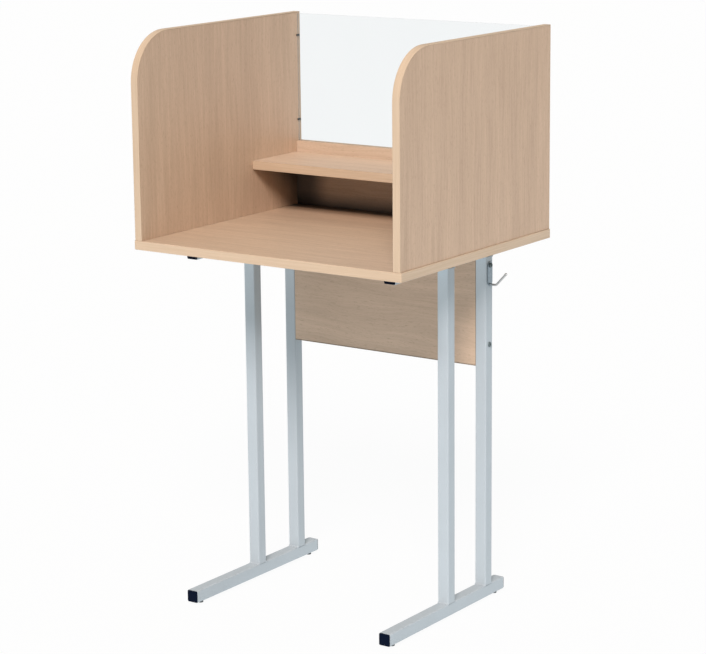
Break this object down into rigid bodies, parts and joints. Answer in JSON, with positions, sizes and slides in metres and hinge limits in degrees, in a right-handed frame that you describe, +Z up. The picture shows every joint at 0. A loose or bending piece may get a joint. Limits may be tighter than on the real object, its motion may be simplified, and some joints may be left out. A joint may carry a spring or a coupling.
{
  "type": "study carrel desk",
  "caption": "Single study carrel desk with side panels, low shelf, clear rear screen, modesty panel, bag hook and twin-upright square-tube leg frames on levelling glides.",
  "frame": {"origin": "on the floor under the middle of the worktop", "axes": "+Z up, the open front faces -Y, +X to the seated user's right"},
  "size_m": [0.63, 0.54, 1.162],
  "materials": {
    "beech_laminate": "satin beech-effect laminate with fine grain",
    "edging": "satin plastic edging in a lighter beech colour",
    "frame_steel": "silver-grey powder coat",
    "black_plastic": "moulded black plastic",
    "zinc_steel": "bright zinc plate",
    "clear_plastic": "clear polished sheet",
    "dowel_wood": "raw beech"
  },
  "bodies": {
    "desk": {"bag_hook": "zinc_steel", "clear_screen": "clear_plastic", "hook_screw": "zinc_steel", "left_foot_rail": "frame_steel", "left_foot_rail_front_cap": "black_plastic", "left_foot_rail_rear_cap": "black_plastic", "left_front_glide_nut": "zinc_steel", "left_front_panel_screw": "zinc_steel", "left_front_rail_screw": "zinc_steel", "left_front_upright": "frame_steel", "left_lower_modesty_screw": "zinc_steel", "left_lower_screen_clip": "black_plastic", "left_panel_edging": "edging", "left_rear_glide_nut": "zinc_steel", "left_rear_panel_screw": "zinc_steel", "left_rear_rail_screw": "zinc_steel", "left_rear_upright": "frame_steel", "left_shelf_dowel": "dowel_wood", "left_side_panel": "beech_laminate", "left_top_rail": "frame_steel", "left_top_rail_front_cap": "black_plastic", "left_top_rail_rear_cap": "black_plastic", "left_upper_modesty_screw": "zinc_steel", "left_upper_screen_clip": "black_plastic", "modesty_edging": "edging", "modesty_panel": "beech_laminate", "rear_board": "beech_laminate", "right_foot_rail": "frame_steel", "right_foot_rail_front_cap": "black_plastic", "right_foot_rail_rear_cap": "black_plastic", "right_front_glide_nut": "zinc_steel", "right_front_panel_screw": "zinc_steel", "right_front_rail_screw": "zinc_steel", "right_front_upright": "frame_steel", "right_lower_modesty_screw": "zinc_steel", "right_lower_screen_clip": "black_plastic", "right_panel_edging": "edging", "right_rear_glide_nut": "zinc_steel", "right_rear_panel_screw": "zinc_steel", "right_rear_rail_screw": "zinc_steel", "right_rear_upright": "frame_steel", "right_shelf_dowel": "dowel_wood", "right_side_panel": "beech_laminate", "right_top_rail": "frame_steel", "right_top_rail_front_cap": "black_plastic", "right_top_rail_rear_cap": "black_plastic", "right_upper_screen_clip": "black_plastic", "shelf": "beech_laminate", "shelf_edging": "edging", "worktop": "beech_laminate", "worktop_edging": "edging"},
    "left_front_glide": {"left_front_glide_foot": "black_plastic", "left_front_glide_stem": "zinc_steel"},
    "left_rear_glide": {"left_rear_glide_foot": "black_plastic", "left_rear_glide_stem": "zinc_steel"},
    "right_front_glide": {"right_front_glide_foot": "black_plastic", "right_front_glide_stem": "zinc_steel"},
    "right_rear_glide": {"right_rear_glide_foot": "black_plastic", "right_rear_glide_stem": "zinc_steel"}
  },
  "joints": [
    {"name": "left_front_glide_travel", "type": "slide", "parent": "desk", "child": "left_front_glide", "axis": [0, 0, -1], "range_m": [0, 0.01]},
    {"name": "left_rear_glide_travel", "type": "slide", "parent": "desk", "child": "left_rear_glide", "axis": [0, 0, -1], "range_m": [0, 0.01]},
    {"name": "right_front_glide_travel", "type": "slide", "parent": "desk", "child": "right_front_glide", "axis": [0, 0, -1], "range_m": [0, 0.01]},
    {"name": "right_rear_glide_travel", "type": "slide", "parent": "desk", "child": "right_rear_glide", "axis": [0, 0, -1], "range_m": [0, 0.01]}
  ]
}
